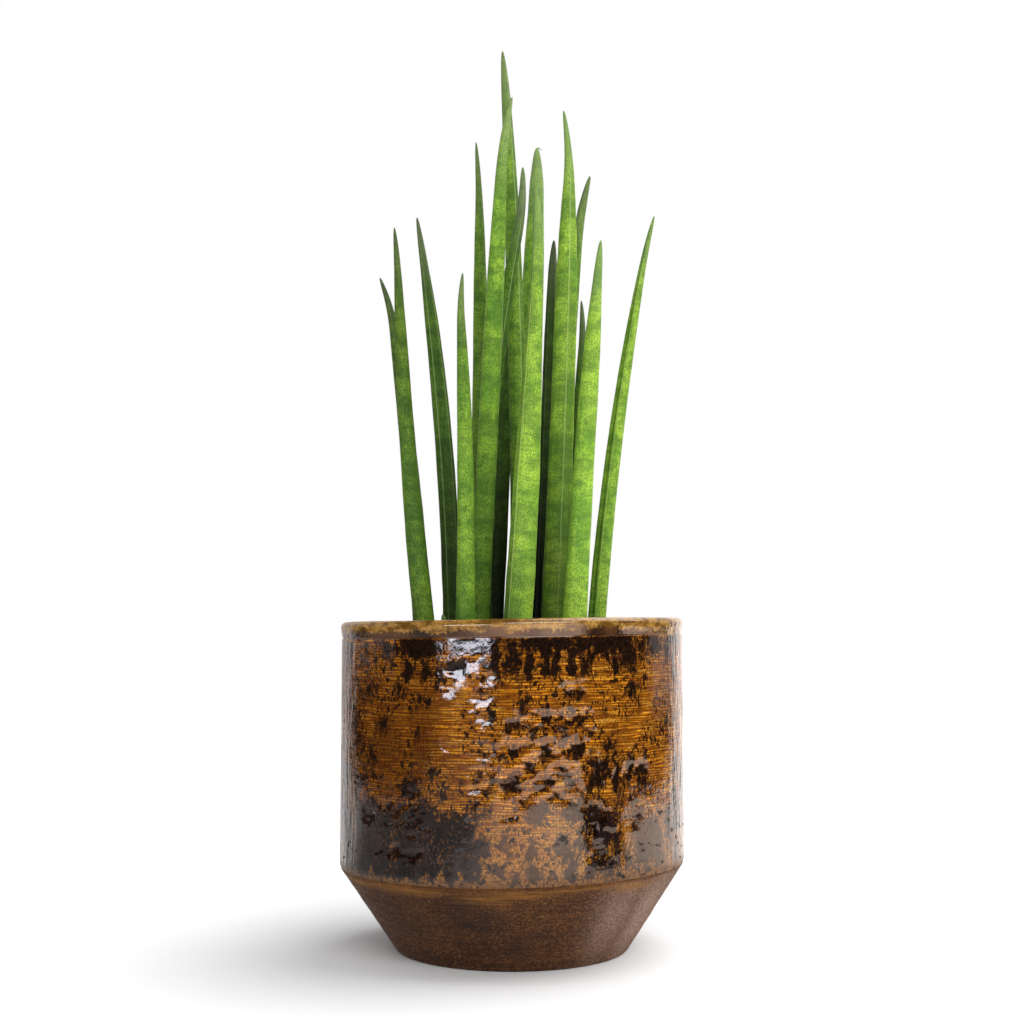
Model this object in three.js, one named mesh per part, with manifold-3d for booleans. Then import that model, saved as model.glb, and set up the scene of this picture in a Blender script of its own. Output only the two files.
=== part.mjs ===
// Potted mikado snake plant: a glazed clay pot, its soil, seventeen spear-shaped leaves and a young shoot.
// Millimetres, +Z up, origin at the middle of the pot's foot, -Y is the front of the photograph.

import * as THREE from 'three';
import { mergeVertices } from 'three/addons/utils/BufferGeometryUtils.js';
import Module from 'manifold-3d';

const wasm = await Module();
wasm.setup();

// Pot
const POT_HEIGHT = 160;
const RIM_RADIUS = 85;
const FOLD_RADIUS = 84.6;
const FOLD_HEIGHT = 42;
const FOOT_RADIUS = 56.7;
const FOOT_ROUNDING = 3;
const FOLD_ROUNDING = 3;
const WALL = 6;
const FLOOR = 9;
const POT_SIDES = 64;
// The pot is hand made: its fold and rim stand this much higher per mm towards +X.
const HAND_MADE_LEAN = 0.0165;

// Soil
const SOIL_HEIGHT = 135;
const SOIL_MOUND = 3;
const SOIL_ROUGHNESS = 0.7;
const SOIL_SIDES = 36;
const SOIL_RINGS = 7;

// Every leaf stands in a plain hole in the soil.
const LEAF_DEPTH = 30;
const CLEARANCE = 0.3;

// Leaf form, shared by all leaves
const LEAF_SIDES = 12;
const CHANNEL_DEPTH = 0.24;
const MARGIN_RISE = 0.04;
const HOOK_START = 0.86;
const NOSE_START = 0.93;
const NOSE_POWER = 0.45;
const GIRTH_STATIONS = [0, 0.25, 0.5, 0.75, NOSE_START];
const LEAF_LEVELS = [0, 0.1, 0.2, 0.3, 0.4, 0.5, 0.6, 0.7, 0.78, 0.86, 0.9, 0.93, 0.96, 0.98, 0.993];

const YOUNG_GREEN = 0x93b648;
const MID_GREEN = 0x6f9437;
const DEEP_GREEN = 0x4c6a2c;

// One entry for each leaf, numbered from the left by its foot. The last is a short young shoot.
// foot: where its centre meets the soil, tip: its point,
// bow: how far its middle stands off a straight line towards +X, hook: how far its last stretch bends to +X,
// girths: its width at the soil, at a quarter, half and three quarters of its height, and under the point,
// channel: the way its shallow channel faces, in degrees from +X.
const LEAVES = [
  {
    foot: [-44, 12], tip: [-69.5, 24, 339.5], bow: 2.5, hook: -3.5,
    girths: [10, 9.5, 8.5, 6.5, 3.5], channel: -60, colour: MID_GREEN,
  },
  {
    foot: [-40.5, -10], tip: [-59, -14, 356], bow: -2.5, hook: -1,
    girths: [10, 10, 8, 6, 3], channel: 110, colour: MID_GREEN,
  },
  {
    foot: [-29.5, 4], tip: [-49.5, 14, 369], bow: 4.5, hook: 0,
    girths: [9.5, 9.5, 9, 7, 3.5], channel: -78, colour: DEEP_GREEN,
  },
  {
    foot: [-23, -26], tip: [-24, -34, 328], bow: 2, hook: 2,
    girths: [10.5, 9, 8, 6, 3], channel: 75, colour: MID_GREEN,
  },
  {
    foot: [-20.5, 30], tip: [-19.5, 42, 418.5], bow: 2.5, hook: -1,
    girths: [9, 8.5, 8, 6.5, 3], channel: 160, colour: DEEP_GREEN,
  },
  {
    foot: [-17.5, -6], tip: [0, -14, 423], bow: -0.5, hook: 3.5,
    girths: [10, 10, 9.5, 6.5, 4], channel: 120, colour: MID_GREEN,
  },
  {
    foot: [-13.5, 10], tip: [5.5, -4, 390], bow: -9.5, hook: -4.5,
    girths: [8.5, 8, 6.5, 5.5, 3.5], channel: -30, colour: DEEP_GREEN,
  },
  {
    foot: [-11.5, 24], tip: [-1, 34, 330], bow: 2, hook: 1,
    girths: [9, 8.5, 7, 5.5, 2.5], channel: 60, colour: DEEP_GREEN,
  },
  {
    foot: [1, -33], tip: [11.5, -42, 368], bow: 1, hook: -2,
    girths: [14.5, 13.5, 11.5, 7, 4.5], channel: -165, colour: YOUNG_GREEN,
  },
  {
    foot: [3, 8], tip: [-5, 14, 458], bow: 3, hook: -0.5,
    girths: [9, 8.5, 7.5, 6.5, 4.5], channel: -22, colour: MID_GREEN,
  },
  {
    foot: [8, 32], tip: [13.5, 40, 414.5], bow: -2, hook: -1,
    girths: [12, 12, 12, 11, 7.5], channel: 90, colour: MID_GREEN,
  },
  {
    foot: [13, 12], tip: [22, 20, 358.5], bow: 1, hook: 0.5,
    girths: [9, 9, 8, 7, 4.5], channel: -90, colour: DEEP_GREEN,
  },
  {
    foot: [19.5, -8], tip: [26, -14, 416], bow: 1, hook: -3.5,
    girths: [13, 12.5, 11.5, 9.5, 3.5], channel: -42, colour: YOUNG_GREEN,
  },
  {
    foot: [26, 26], tip: [42, 38, 398.5], bow: -4.5, hook: 3,
    girths: [9, 8.5, 7.5, 6.5, 4.5], channel: -150, colour: MID_GREEN,
  },
  {
    foot: [29, -26], tip: [43, -38, 343], bow: -1, hook: 0,
    girths: [12, 11, 10, 8, 4], channel: 60, colour: YOUNG_GREEN,
  },
  {
    foot: [30, 8], tip: [36, 16, 325.5], bow: -1.5, hook: -2,
    girths: [7.5, 7, 6, 5, 3], channel: 90, colour: DEEP_GREEN,
  },
  {
    foot: [40.5, -2], tip: [73.5, 8, 368], bow: -4, hook: 1,
    girths: [8.5, 8.5, 7.5, 5.5, 3], channel: -140, colour: YOUNG_GREEN,
  },
  {
    foot: [-28, -13], tip: [-34, -12, 162.5], bow: 0, hook: 0,
    girths: [6.5, 6, 5.5, 4.5, 2.5], channel: 0, colour: MID_GREEN,
  },
];

const material = (color, roughness) => new THREE.MeshStandardMaterial({ color, roughness, metalness: 0 });

// Joins shared vertices and drops the empty triangles at a pole, so that a closed surface is one body.
function weld(geometry) {
  geometry.deleteAttribute('normal');
  geometry.deleteAttribute('uv');
  const merged = mergeVertices(geometry, 1e-4);
  const index = merged.getIndex().array;
  const kept = [];
  for (let i = 0; i < index.length; i += 3) {
    const [a, b, c] = [index[i], index[i + 1], index[i + 2]];
    if (a !== b && b !== c && c !== a) kept.push(a, b, c);
  }
  merged.setIndex(kept);
  merged.computeVertexNormals();
  return merged;
}

function toSolid(geometry) {
  return new wasm.Manifold(new wasm.Mesh({
    numProp: 3,
    vertProperties: new Float32Array(geometry.getAttribute('position').array),
    triVerts: new Uint32Array(geometry.getIndex().array),
  }));
}

function fromSolid(solid) {
  const mesh = solid.getMesh();
  const geometry = new THREE.BufferGeometry();
  geometry.setAttribute('position', new THREE.BufferAttribute(mesh.vertProperties, 3));
  geometry.setIndex(new THREE.BufferAttribute(mesh.triVerts, 1));
  geometry.computeVertexNormals();
  return geometry;
}

// Turns a profile of (radius, height) points round the upright axis.
function turned(profile, sides) {
  const geometry = new THREE.LatheGeometry(profile, sides);
  geometry.rotateX(Math.PI / 2);
  return weld(geometry);
}

// Raises the side towards +X, fully from the fold upwards and not at all at the foot.
function leanByHand(geometry) {
  const position = geometry.getAttribute('position');
  for (let i = 0; i < position.count; i += 1) {
    const share = Math.min(position.getZ(i) / FOLD_HEIGHT, 1);
    position.setZ(i, position.getZ(i) + HAND_MADE_LEAN * share * position.getX(i));
  }
  geometry.computeVertexNormals();
  return geometry;
}

// Points of an arc about (radius, height), both ends included, angles in degrees.
function arc(radius, height, size, from, to, steps) {
  const points = [];
  for (let i = 0; i <= steps; i += 1) {
    const angle = THREE.MathUtils.degToRad(from + ((to - from) * i) / steps);
    points.push(new THREE.Vector2(radius + size * Math.cos(angle), height + size * Math.sin(angle)));
  }
  return points;
}

// The cone between the foot and the fold, as its angle from level.
const CONE_ANGLE = THREE.MathUtils.radToDeg(Math.atan2(FOLD_HEIGHT, FOLD_RADIUS - FOOT_RADIUS));
const INNER_RIM = RIM_RADIUS - WALL;
const INNER_FOLD = FOLD_RADIUS - WALL;
const INNER_FOOT = FOOT_RADIUS - WALL / 2;

// How far a rounded corner starts from its sharp one, where the surface turns by so many degrees.
function cornerTrim(rounding, turn) {
  return rounding * Math.tan(THREE.MathUtils.degToRad(turn / 2));
}

function pot() {
  const lip = WALL / 2;
  const footCentre = FOOT_RADIUS - cornerTrim(FOOT_ROUNDING, CONE_ANGLE);
  const foldCentre = FOLD_HEIGHT + cornerTrim(FOLD_ROUNDING, 90 - CONE_ANGLE);
  const profile = [
    new THREE.Vector2(0, 0),
    ...arc(footCentre, FOOT_ROUNDING, FOOT_ROUNDING, -90, CONE_ANGLE - 90, 3),
    ...arc(FOLD_RADIUS - FOLD_ROUNDING, foldCentre, FOLD_ROUNDING, CONE_ANGLE - 90, 0, 3),
    new THREE.Vector2((FOLD_RADIUS + RIM_RADIUS) / 2, (FOLD_HEIGHT + POT_HEIGHT) / 2),
    ...arc(RIM_RADIUS - lip, POT_HEIGHT - lip, lip, 0, 180, 6),
    new THREE.Vector2(INNER_FOLD, FOLD_HEIGHT + WALL / 2),
    new THREE.Vector2(INNER_FOOT, FLOOR),
    new THREE.Vector2(0, FLOOR),
  ];
  return leanByHand(turned(profile, POT_SIDES));
}

// Uneven crumbly surface of the soil, highest in the middle of the clump.
function soilTop(x, y) {
  const r = Math.hypot(x, y) / INNER_RIM;
  const crumbs = Math.sin(0.31 * x + 1.3) * Math.cos(0.27 * y) + 0.5 * Math.sin(0.83 * x + 0.61 * y);
  return SOIL_HEIGHT + SOIL_MOUND * (1 - r * r) + SOIL_ROUGHNESS * crumbs * (1 - r ** 4);
}

function soil() {
  // The pot's inner wall is a straight cone between its fold and its rim.
  const share = (SOIL_HEIGHT - FOLD_HEIGHT) / (POT_HEIGHT - FOLD_HEIGHT);
  const topRadius = THREE.MathUtils.lerp(INNER_FOLD, INNER_RIM, share) - CLEARANCE;
  const profile = [
    new THREE.Vector2(0, FLOOR + CLEARANCE),
    new THREE.Vector2(INNER_FOOT - CLEARANCE, FLOOR + CLEARANCE),
    new THREE.Vector2(INNER_FOLD - CLEARANCE, FOLD_HEIGHT + WALL / 2 + CLEARANCE),
  ];
  for (let ring = SOIL_RINGS; ring >= 0; ring -= 1) {
    profile.push(new THREE.Vector2((topRadius * ring) / SOIL_RINGS, SOIL_HEIGHT));
  }
  const geometry = turned(profile, SOIL_SIDES);
  const position = geometry.getAttribute('position');
  for (let i = 0; i < position.count; i += 1) {
    if (position.getZ(i) > SOIL_HEIGHT - 1) position.setZ(i, soilTop(position.getX(i), position.getY(i)));
  }
  let solid = toSolid(leanByHand(geometry));
  for (const leaf of LEAVES) {
    const hole = spear({ ...leaf, channelDepth: 0, marginRise: MARGIN_RISE, clearance: CLEARANCE });
    solid = solid.subtract(toSolid(hole));
  }
  return fromSolid(solid);
}

// Middle of a leaf at a share of its height above the soil, below 0 for the stretch in the soil.
function leafMiddle({ foot, tip, bow, hook }, share) {
  const hooked = Math.max(0, (share - HOOK_START) / (1 - HOOK_START)) ** 2;
  const straight = THREE.MathUtils.lerp(foot[0], tip[0] - hook, share);
  return new THREE.Vector3(
    straight + 4 * bow * share * (1 - share) + hook * hooked,
    THREE.MathUtils.lerp(foot[1], tip[1], share),
    THREE.MathUtils.lerp(SOIL_HEIGHT, tip[2], share),
  );
}

// Half the width of a leaf at a share of its height. It closes to a blunt point.
function leafRadius(girth, share) {
  const width = girth.evaluate(THREE.MathUtils.clamp(share, 0, NOSE_START))[0];
  const nose = Math.min(1, (1 - share) / (1 - NOSE_START)) ** NOSE_POWER;
  return (width * nose) / 2;
}

// A round spear with one shallow channel between two raised margins, closed by a point and a flat foot.
function spear(leaf) {
  const { channelDepth = CHANNEL_DEPTH, marginRise = MARGIN_RISE, clearance = 0 } = leaf;
  const girth = new THREE.CubicInterpolant(GIRTH_STATIONS, leaf.girths, 1);
  const buried = -(LEAF_DEPTH + clearance) / (leaf.tip[2] - SOIL_HEIGHT);
  const levels = [buried, buried / 2, ...LEAF_LEVELS];
  const vertices = [];
  for (const share of levels) {
    const middle = leafMiddle(leaf, share);
    const radius = leafRadius(girth, share) + clearance;
    for (let side = 0; side < LEAF_SIDES; side += 1) {
      const angle = THREE.MathUtils.degToRad(leaf.channel + (360 * side) / LEAF_SIDES);
      const beside = side === 1 || side === LEAF_SIDES - 1;
      const form = side === 0 ? 1 - channelDepth : 1 + (beside ? marginRise : 0);
      const reach = radius * form;
      vertices.push(middle.x + reach * Math.cos(angle), middle.y + reach * Math.sin(angle), middle.z);
    }
  }
  const foot = leafMiddle(leaf, buried);
  vertices.push(foot.x, foot.y, foot.z, ...leaf.tip);
  const footIndex = levels.length * LEAF_SIDES;
  const tipIndex = footIndex + 1;
  const faces = [];
  for (let side = 0; side < LEAF_SIDES; side += 1) {
    const next = (side + 1) % LEAF_SIDES;
    faces.push(footIndex, next, side);
    for (let level = 0; level < levels.length - 1; level += 1) {
      const low = level * LEAF_SIDES;
      const high = low + LEAF_SIDES;
      faces.push(low + side, low + next, high + next, low + side, high + next, high + side);
    }
    const last = (levels.length - 1) * LEAF_SIDES;
    faces.push(last + side, last + next, tipIndex);
  }
  const geometry = new THREE.BufferGeometry();
  geometry.setAttribute('position', new THREE.Float32BufferAttribute(vertices, 3));
  geometry.setIndex(faces);
  geometry.computeVertexNormals();
  return geometry;
}

function piece(name, geometry, surface) {
  const mesh = new THREE.Mesh(geometry, surface);
  mesh.name = name;
  return mesh;
}

const plant = new THREE.Group();
plant.add(piece('pot', pot(), material(0x7a4a1e, 0.25)));
plant.add(piece('soil', soil(), material(0x3a2a1e, 0.95)));
LEAVES.forEach((leaf, i) => {
  const name = `leaf_${String(i + 1).padStart(2, '0')}`;
  plant.add(piece(name, spear(leaf), material(leaf.colour, 0.5)));
});

export default plant;
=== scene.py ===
"""Looks of the potted mikado snake plant: glazed clay pot, soil and spear leaves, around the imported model.

Metres, +Z up. The viewer of the photograph stands on the -Y side. Sizes are written in millimetres times MM.
"""
import math
from functools import reduce

import bpy
import numpy as np
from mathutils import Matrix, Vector


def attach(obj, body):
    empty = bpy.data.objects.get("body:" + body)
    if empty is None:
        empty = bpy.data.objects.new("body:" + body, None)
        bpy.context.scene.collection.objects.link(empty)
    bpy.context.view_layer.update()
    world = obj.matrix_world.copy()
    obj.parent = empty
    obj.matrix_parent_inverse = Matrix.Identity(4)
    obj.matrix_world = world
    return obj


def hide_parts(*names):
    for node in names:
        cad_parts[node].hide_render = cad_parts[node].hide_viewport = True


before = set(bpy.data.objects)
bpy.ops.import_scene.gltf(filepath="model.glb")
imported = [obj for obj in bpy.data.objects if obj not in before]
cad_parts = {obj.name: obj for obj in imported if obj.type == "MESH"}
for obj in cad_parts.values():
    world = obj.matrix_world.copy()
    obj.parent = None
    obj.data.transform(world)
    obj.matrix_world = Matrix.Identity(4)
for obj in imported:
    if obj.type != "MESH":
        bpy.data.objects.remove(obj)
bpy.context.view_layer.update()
MM = 0.001


# Camera, worked out from the drop of the pot's rim, fold and foot below their level lines.
CAMERA_DISTANCE = 743 * MM
CAMERA_HEIGHT = 155.5 * MM
CAMERA_PITCH_UP = 4.5
SENSOR = 36.0
FOCAL_LENGTH = 52.07

# Studio, in metres. The screens and the dark card show in the gloss only, and so does the window.
WHITE = (1.0, 1.0, 1.0)
ROOM_LIGHT = 0.59
ROOM_IN_GLOSS = 0.02
PAPER = (0.8, 0.8, 0.8)
TABLE_IN_GLOSS = 1.32
WARM_NEAR = (1.0, 0.76, 0.62)
WARM_FAR = (1.0, 0.64, 0.48)
FLOOR_FRONT = -1.10
FLOOR_BACK = 1.9
FLOOR_SIDES = (-0.76, 0.76)
DARK_CARD = ((0.27, -0.28), (0.94, -0.86), (1.0, -0.25), (0.36, -0.125))
SCREEN_TINT = (1.0, 0.91, 0.88)
SCREENS = {
    # glow, where the screen starts and ends, lower and upper edge
    "back_screen_left": (1.05, (-1.75, 1.75), (-0.98, 1.81), -0.35, 2.4),
    "back_screen_dim": (0.48, (-0.98, 1.81), (-0.52, 1.85), -0.35, 2.4),
    "back_screen_middle": (1.0, (-0.52, 1.85), (0, 1.9), -0.35, 2.4),
    "back_screen_right": (1.7, (0, 1.9), (1.75, 1.75), -0.35, 2.4),
    "side_screen": (0.7, (1.5, 1.5), (1.6, 0.34), 0.04, 1.6),
    "left_screen": (0.48, (-1.21, 1.05), (-1.58, -0.22), 0.118, 1.2),
}
KEY_SIDE = (0.64, 0.25, 1.0)
SOFTBOXES = {
    # place, target, power, width, height
    "front_light": ((0.50, -1.5, 0.95), (0, 0, 0.25), 16, 1.4, 0.8),
    "window": ((-0.57, -1.04, 0.235), (0, 0, 0.15), 4.6, 0.62, 0.17),
}
WINDOW_COLOUR = (0.86, 0.87, 1.0)

# Pot, in millimetres, with the same driving sizes as the solid.
POT_HEIGHT = 160.0
RIM_RADIUS = 85.0
FOLD_RADIUS = 84.6
FOLD_HEIGHT = 42.0
FOLD_ROUNDING = 0.42
FOOT_RADIUS = 56.7
WALL = 6.0
INNER_FOLD = FOLD_RADIUS - WALL
FLOOR = 9.0
HAND_MADE_LEAN = 0.0165
NECK_HEIGHT = 151.6
NECK_RADIUS = 84.4
NECK_DEPTH = 0.35
LIP = 2.7
POT_SIDES = 432
# One degree round the wall
DEGREE = math.radians(1) * RIM_RADIUS

# Places on the wall are turn in degrees from the front, height, half width, half length, strength or depth.
# Pools of dark glaze that show from the front:
FRONT_POOLS = (
    # Tongues that hang from the neck
    (-56, 146, 6, 6, 0.5), (-44, 147, 7, 5, 0.5), (-31, 148.5, 13, 5.4, 1.1), (-10, 149, 14, 4.8, 1.1),
    (10, 149, 18, 5.2, 1.1), (32, 148.5, 17, 5.4, 1.1), (50, 148, 10, 6, 0.9), (-34.5, 139, 3.4, 5, 0.8),
    (-25.6, 137, 4.2, 4.8, 0.8), (-16.6, 137.5, 5, 4.6, 1.0), (-5, 142, 2.4, 8, 1.0),
    (0.3, 142, 3.2, 9.5, 1.0), (5.4, 141, 3.2, 10, 1.0), (10, 142.3, 2.2, 9, 0.9), (13.4, 143, 2, 8.5, 0.9),
    (18.6, 141.5, 3.4, 9.8, 1.0), (24.6, 142.5, 3.6, 9, 0.8), (32.8, 142.5, 2.2, 8.8, 0.9),
    (39, 144, 7, 7.2, 0.95), (40, 127, 4.6, 3.6, 0.8), (50, 147, 6.5, 4.5, 0.8), (60, 143, 5, 8, 0.6),
    # Specks and short dashes in the combed middle
    (-29.4, 124.4, 2.4, 3, 0.85), (-25.7, 123, 1.6, 3, 0.8), (-20, 126, 1.4, 2.4, 0.6),
    (-10, 121, 1.3, 3.6, 0.8), (-6, 119, 1.2, 3.4, 0.7), (3.5, 124, 1.5, 3.4, 0.8), (3, 119, 1.3, 1.6, 0.7),
    (11, 121, 2.2, 3.2, 0.8), (17.5, 119.5, 2.2, 2.4, 0.7), (-1, 112, 1.6, 2.8, 0.8),
    (6.5, 110, 3.2, 3.2, 0.7), (15.5, 109, 3, 4, 0.75), (22, 110.5, 1.6, 3, 0.7), (1, 101, 2.6, 2.2, 0.75),
    (12, 99, 3.8, 1.8, 0.7), (31.5, 104, 4.2, 5, 0.62), (-33.4, 85, 6, 5.5, 0.75),
    (-3, 88.5, 6.5, 1.9, 0.85), (10, 87.5, 3.6, 2.4, 0.8), (18, 88, 3.8, 2.4, 0.75), (-52, 96, 8, 14, 0.45),
    (-60, 110, 7, 16, 0.42), (-40, 100, 5, 9, 0.3), (-57, 86, 8, 6, 0.72), (-46, 87, 4, 5, 0.6),
    (-38, 128, 4, 5, 0.55), (-50, 130, 6, 8, 0.5), (-44, 114, 3, 4, 0.55), (27.7, 89.7, 5, 5.6, 1.0),
    (34, 87.5, 2.2, 7.2, 0.95), (38.5, 87.5, 2.4, 7.4, 1.0), (44.2, 88, 2.8, 8.4, 0.7),
    # The dark belt above the fold
    (-50, 60, 18, 19, 1.1), (-30, 61, 16, 19, 1.1), (-17, 59, 9, 18, 0.95), (-10, 72, 5, 5, 0.7),
    (-9, 58, 5.5, 6, 0.85), (-2.5, 60, 3, 5, 0.7), (6.5, 73.5, 4.4, 5, 0.95), (18.5, 74, 4.2, 4.6, 0.9),
    (5.6, 58, 2.8, 6.5, 0.9), (15.8, 60, 3.2, 6.4, 0.9), (6, 47.5, 3.6, 4.6, 0.95), (12, 46.5, 2, 3.4, 0.8),
    (18.2, 48, 3.2, 4.8, 0.95), (-14, 66, 5, 6, 0.85), (-4, 49, 4, 5, 0.95), (1, 46.5, 2.4, 3.6, 0.85),
    (-12, 50, 6, 5, 0.95), (34, 58, 4, 10, 0.7), (42, 66, 5, 9, 0.6), (-20, 48, 6, 5, 1.0),
    (-12, 47, 5, 4.5, 0.95), (24.5, 47, 2.8, 4.2, 0.95), (-34, 48, 14, 6, 1.05), (-54, 48, 14, 6, 1.0),
    (22, 60, 3.6, 7.4, 0.95), (28.4, 67, 10, 13.5, 1.0), (27, 50.5, 3.2, 5, 0.95), (32, 49.5, 3, 5.6, 0.95),
    (38, 52, 3.2, 5, 0.8), (48.6, 57.5, 12, 13, 0.95), (61, 62, 7, 15, 0.7),
)
TEETH_HEIGHT = 43.2
COMB_SPACING = 1.3 * MM
# Where the dark neck starts, and the ochre rim
NECK_LEVELS = (151.3, 151.9)
RIM_LEVELS = (156.7, 157.7)
# Pools round the sides and back are drawn: height, spacing in degrees, half width, half length, strength.
FRONT_REACH = 66
POOL_SEED = 2024
POOL_ROWS = (
    (148, 12, 9.0, 4.5, 0.95), (141, 6.5, 3.0, 9.0, 1.0), (124, 8.5, 1.9, 3.0, 0.75),
    (112, 9, 2.6, 3.0, 0.65), (100, 9.5, 3.0, 2.2, 0.65), (88, 8, 4.0, 5.4, 0.85),
    (75, 9.5, 5.6, 6.0, 0.85), (64, 12, 9.5, 9.0, 0.95), (53, 9, 5.0, 8.0, 0.95), (48, 6.5, 3.2, 4.6, 0.95),
)
# Dents that show from the front:
FRONT_DENTS = (
    (20, 129, 5.3, 3.2, 0.9), (10, 117, 4.2, 3.8, 1.0), (20, 117, 7.5, 3.2, 0.9), (2, 116, 3.5, 3.7, 0.8),
    (-8, 117, 3.1, 3.0, 0.6), (1, 103, 4.0, 4.1, 1.0), (10, 103, 4.7, 4.0, 1.0), (20, 104, 6.5, 4.1, 1.0),
    (-8, 103, 6.7, 3.4, 0.6), (-19, 104, 5.3, 2.5, 0.45), (28, 104, 2.1, 2.7, 0.4), (0, 90, 5.1, 3.9, 1.0),
    (10, 90, 4.3, 4.4, 1.0), (18, 89, 6.1, 6.1, 0.7), (-10, 93, 5.8, 3.4, 0.7), (-9, 86, 4.9, 3.4, 0.8),
    (27, 90, 5.4, 6.0, 0.9), (34, 90, 2.5, 6.6, 0.9), (37, 89, 2.7, 7.1, 0.8), (44, 93, 3.4, 5.2, 0.9),
    (-3, 85, 2.2, 2.2, 0.5), (-46, 56, 3.0, 1.3, 0.7), (-39, 57, 2.6, 2.3, 1.4), (-36, 57, 1.9, 1.5, 0.9),
    (-31, 57, 4.7, 2.1, 1.2), (-33, 64, 2.2, 1.4, 0.8), (-31, 77, 1.7, 1.8, 1.0), (-30, 73, 2.8, 1.0, 0.7),
    (-34, 78, 2.7, 0.8, 0.7), (-42, 77, 3.1, 1.3, 0.8), (-38, 75, 2.9, 1.4, 0.8), (-33, 70, 4.1, 1.1, 0.7),
    (-40, 71, 3.0, 1.1, 0.7), (-52, 72, 4.9, 2.3, 1.3), (-27, 68, 1.9, 1.1, 0.7), (0, 74, 2.0, 1.8, 1.1),
    (-2, 84, 2.2, 1.2, 0.7), (-31, 82, 1.9, 1.2, 0.7), (25, 76, 4.0, 3.7, 1.0), (30, 73, 4.8, 3.8, 0.9),
    (25, 67, 4.0, 3.3, 0.8), (32, 64, 4.9, 3.9, 0.9), (27, 58, 4.6, 3.4, 0.8), (40, 70, 5.0, 3.5, 0.6),
    (-18, 137, 3.8, 3.1, 1.0), (-13, 141, 2.8, 2.6, 0.7), (-8, 135, 2.7, 2.6, 0.7),
    (-20, 130, 2.9, 3.1, 0.6), (-10, 125, 3.6, 3.0, 0.6), (15, 93, 4.4, 3.4, 0.9), (6, 96, 4.0, 3.2, 0.9),
    (24, 97, 4.6, 3.4, 0.9), (14, 83, 4.4, 3.2, 0.8), (4, 82, 4.0, 3.0, 0.8), (24, 110, 3.6, 3.0, 0.8),
)
# The rows of drawn dents round the back
DENT_ROWS = (54, 61, 69, 77, 84.5, 92, 99.5, 107, 114, 121, 130, 139, 147)
DENT_SPACING = 7.4
DENT_SEED = 77
# Dull brown parts of the glaze, and smears of ochre glaze below the fold:
DULL_PARTS = (
    (-68, 100, 34, 70, 1.0), (-42, 100, 22, 42, 0.92), (-29, 108, 13, 36, 0.95), (62, 128, 14, 24, 0.6),
    (110, 100, 50, 60, 0.8), (-140, 110, 60, 50, 0.7),
)
OCHRE_SMEARS = (
    (-9, 36.5, 12, 2.6, 1.0), (2, 38.5, 13, 2.2, 0.9), (-4, 33.5, 6, 1.4, 0.6), (18, 39.5, 22, 1.8, 0.75),
    (-34, 39.5, 22, 1.8, 0.8), (-60, 39, 14, 2, 0.6), (45, 38.5, 18, 1.8, 0.6), (110, 38.5, 24, 2.4, 0.8),
    (150, 37, 14, 2.6, 0.9), (190, 39, 26, 1.8, 0.7), (236, 37.5, 18, 2.4, 0.8), (272, 39, 20, 1.8, 0.6),
)
# Dark stains on the bare clay, and where a pale sheen of reflected light is painted on it:
CLAY_STAINS = (
    (-14, 26, 20, 12, 1.0), (-44, 24, 20, 16, 0.75), (4, 14, 20, 9, 0.6), (-66, 20, 14, 14, 0.4),
    (95, 22, 26, 13, 0.7), (150, 28, 22, 10, 0.8), (205, 18, 26, 12, 0.8), (250, 27, 18, 9, 0.6),
)
# The painted sheen: pale reflected light laid on the clay's right side and left edge.
CLAY_PAINTED_SHEEN = (
    (40, 24, 14, 22, 0.75), (58, 22, 16, 24, 1.0), (78, 22, 20, 24, 0.8), (-84, 24, 10, 22, 0.7),
)

# Colours of the glaze (amber, dark pools, low belt, rim, inside, fold), then of the bare clay and its painted
# sheen
COLOURS = {
    "amber": (0.195, 0.054, 0.0032), "comb": (0.840, 0.322, 0.0130), "amber_cloud": (0.105, 0.029, 0.0026),
    "thread": (0.820, 0.430, 0.0600), "weave": (0.080, 0.025, 0.0030), "grit": (0.055, 0.016, 0.0025),
    "rubbed": (0.320, 0.138, 0.0180), "rubbed_grit": (0.075, 0.027, 0.0045), "dull": (0.090, 0.0225, 0.0028),
    "dull_dark": (0.024, 0.0058, 0.0010), "dull_comb": (0.165, 0.045, 0.0055),
    "rust": (0.048, 0.015, 0.0035), "pool": (0.0040, 0.0020, 0.0014), "pool_grit": (0.0260, 0.0095, 0.0036),
    "bloom": (0.0110, 0.0060, 0.0062), "freckle": (0.090, 0.036, 0.0140),
    "hole": (0.0020, 0.0012, 0.0010),
    "rim_dark": (0.135, 0.061, 0.0100), "rim_light": (0.390, 0.205, 0.0440),
    "rim_grit": (0.055, 0.023, 0.0050), "neck_dark": (0.016, 0.007, 0.004),
    "neck_light": (0.085, 0.036, 0.014), "inside": (0.10, 0.04, 0.009), "inside_dark": (0.03, 0.014, 0.006),
    "fold_dark": (0.056, 0.018, 0.0030), "fold_light": (0.140, 0.052, 0.0070),
    "clay_dark": (0.054, 0.0195, 0.0062), "clay_light": (0.104, 0.0390, 0.0115),
    "clay_grain": (0.020, 0.0080, 0.0040), "warm": (0.150, 0.060, 0.0150),
    # On the next line, after the stain, stands the pale tint of the clay's painted sheen of reflected light.
    "pale_grain": (0.250, 0.122, 0.0480), "stain": (0.0220, 0.0125, 0.0100), "dry": (0.300, 0.200, 0.1560),
    "smear": (0.250, 0.105, 0.018),
}
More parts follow.
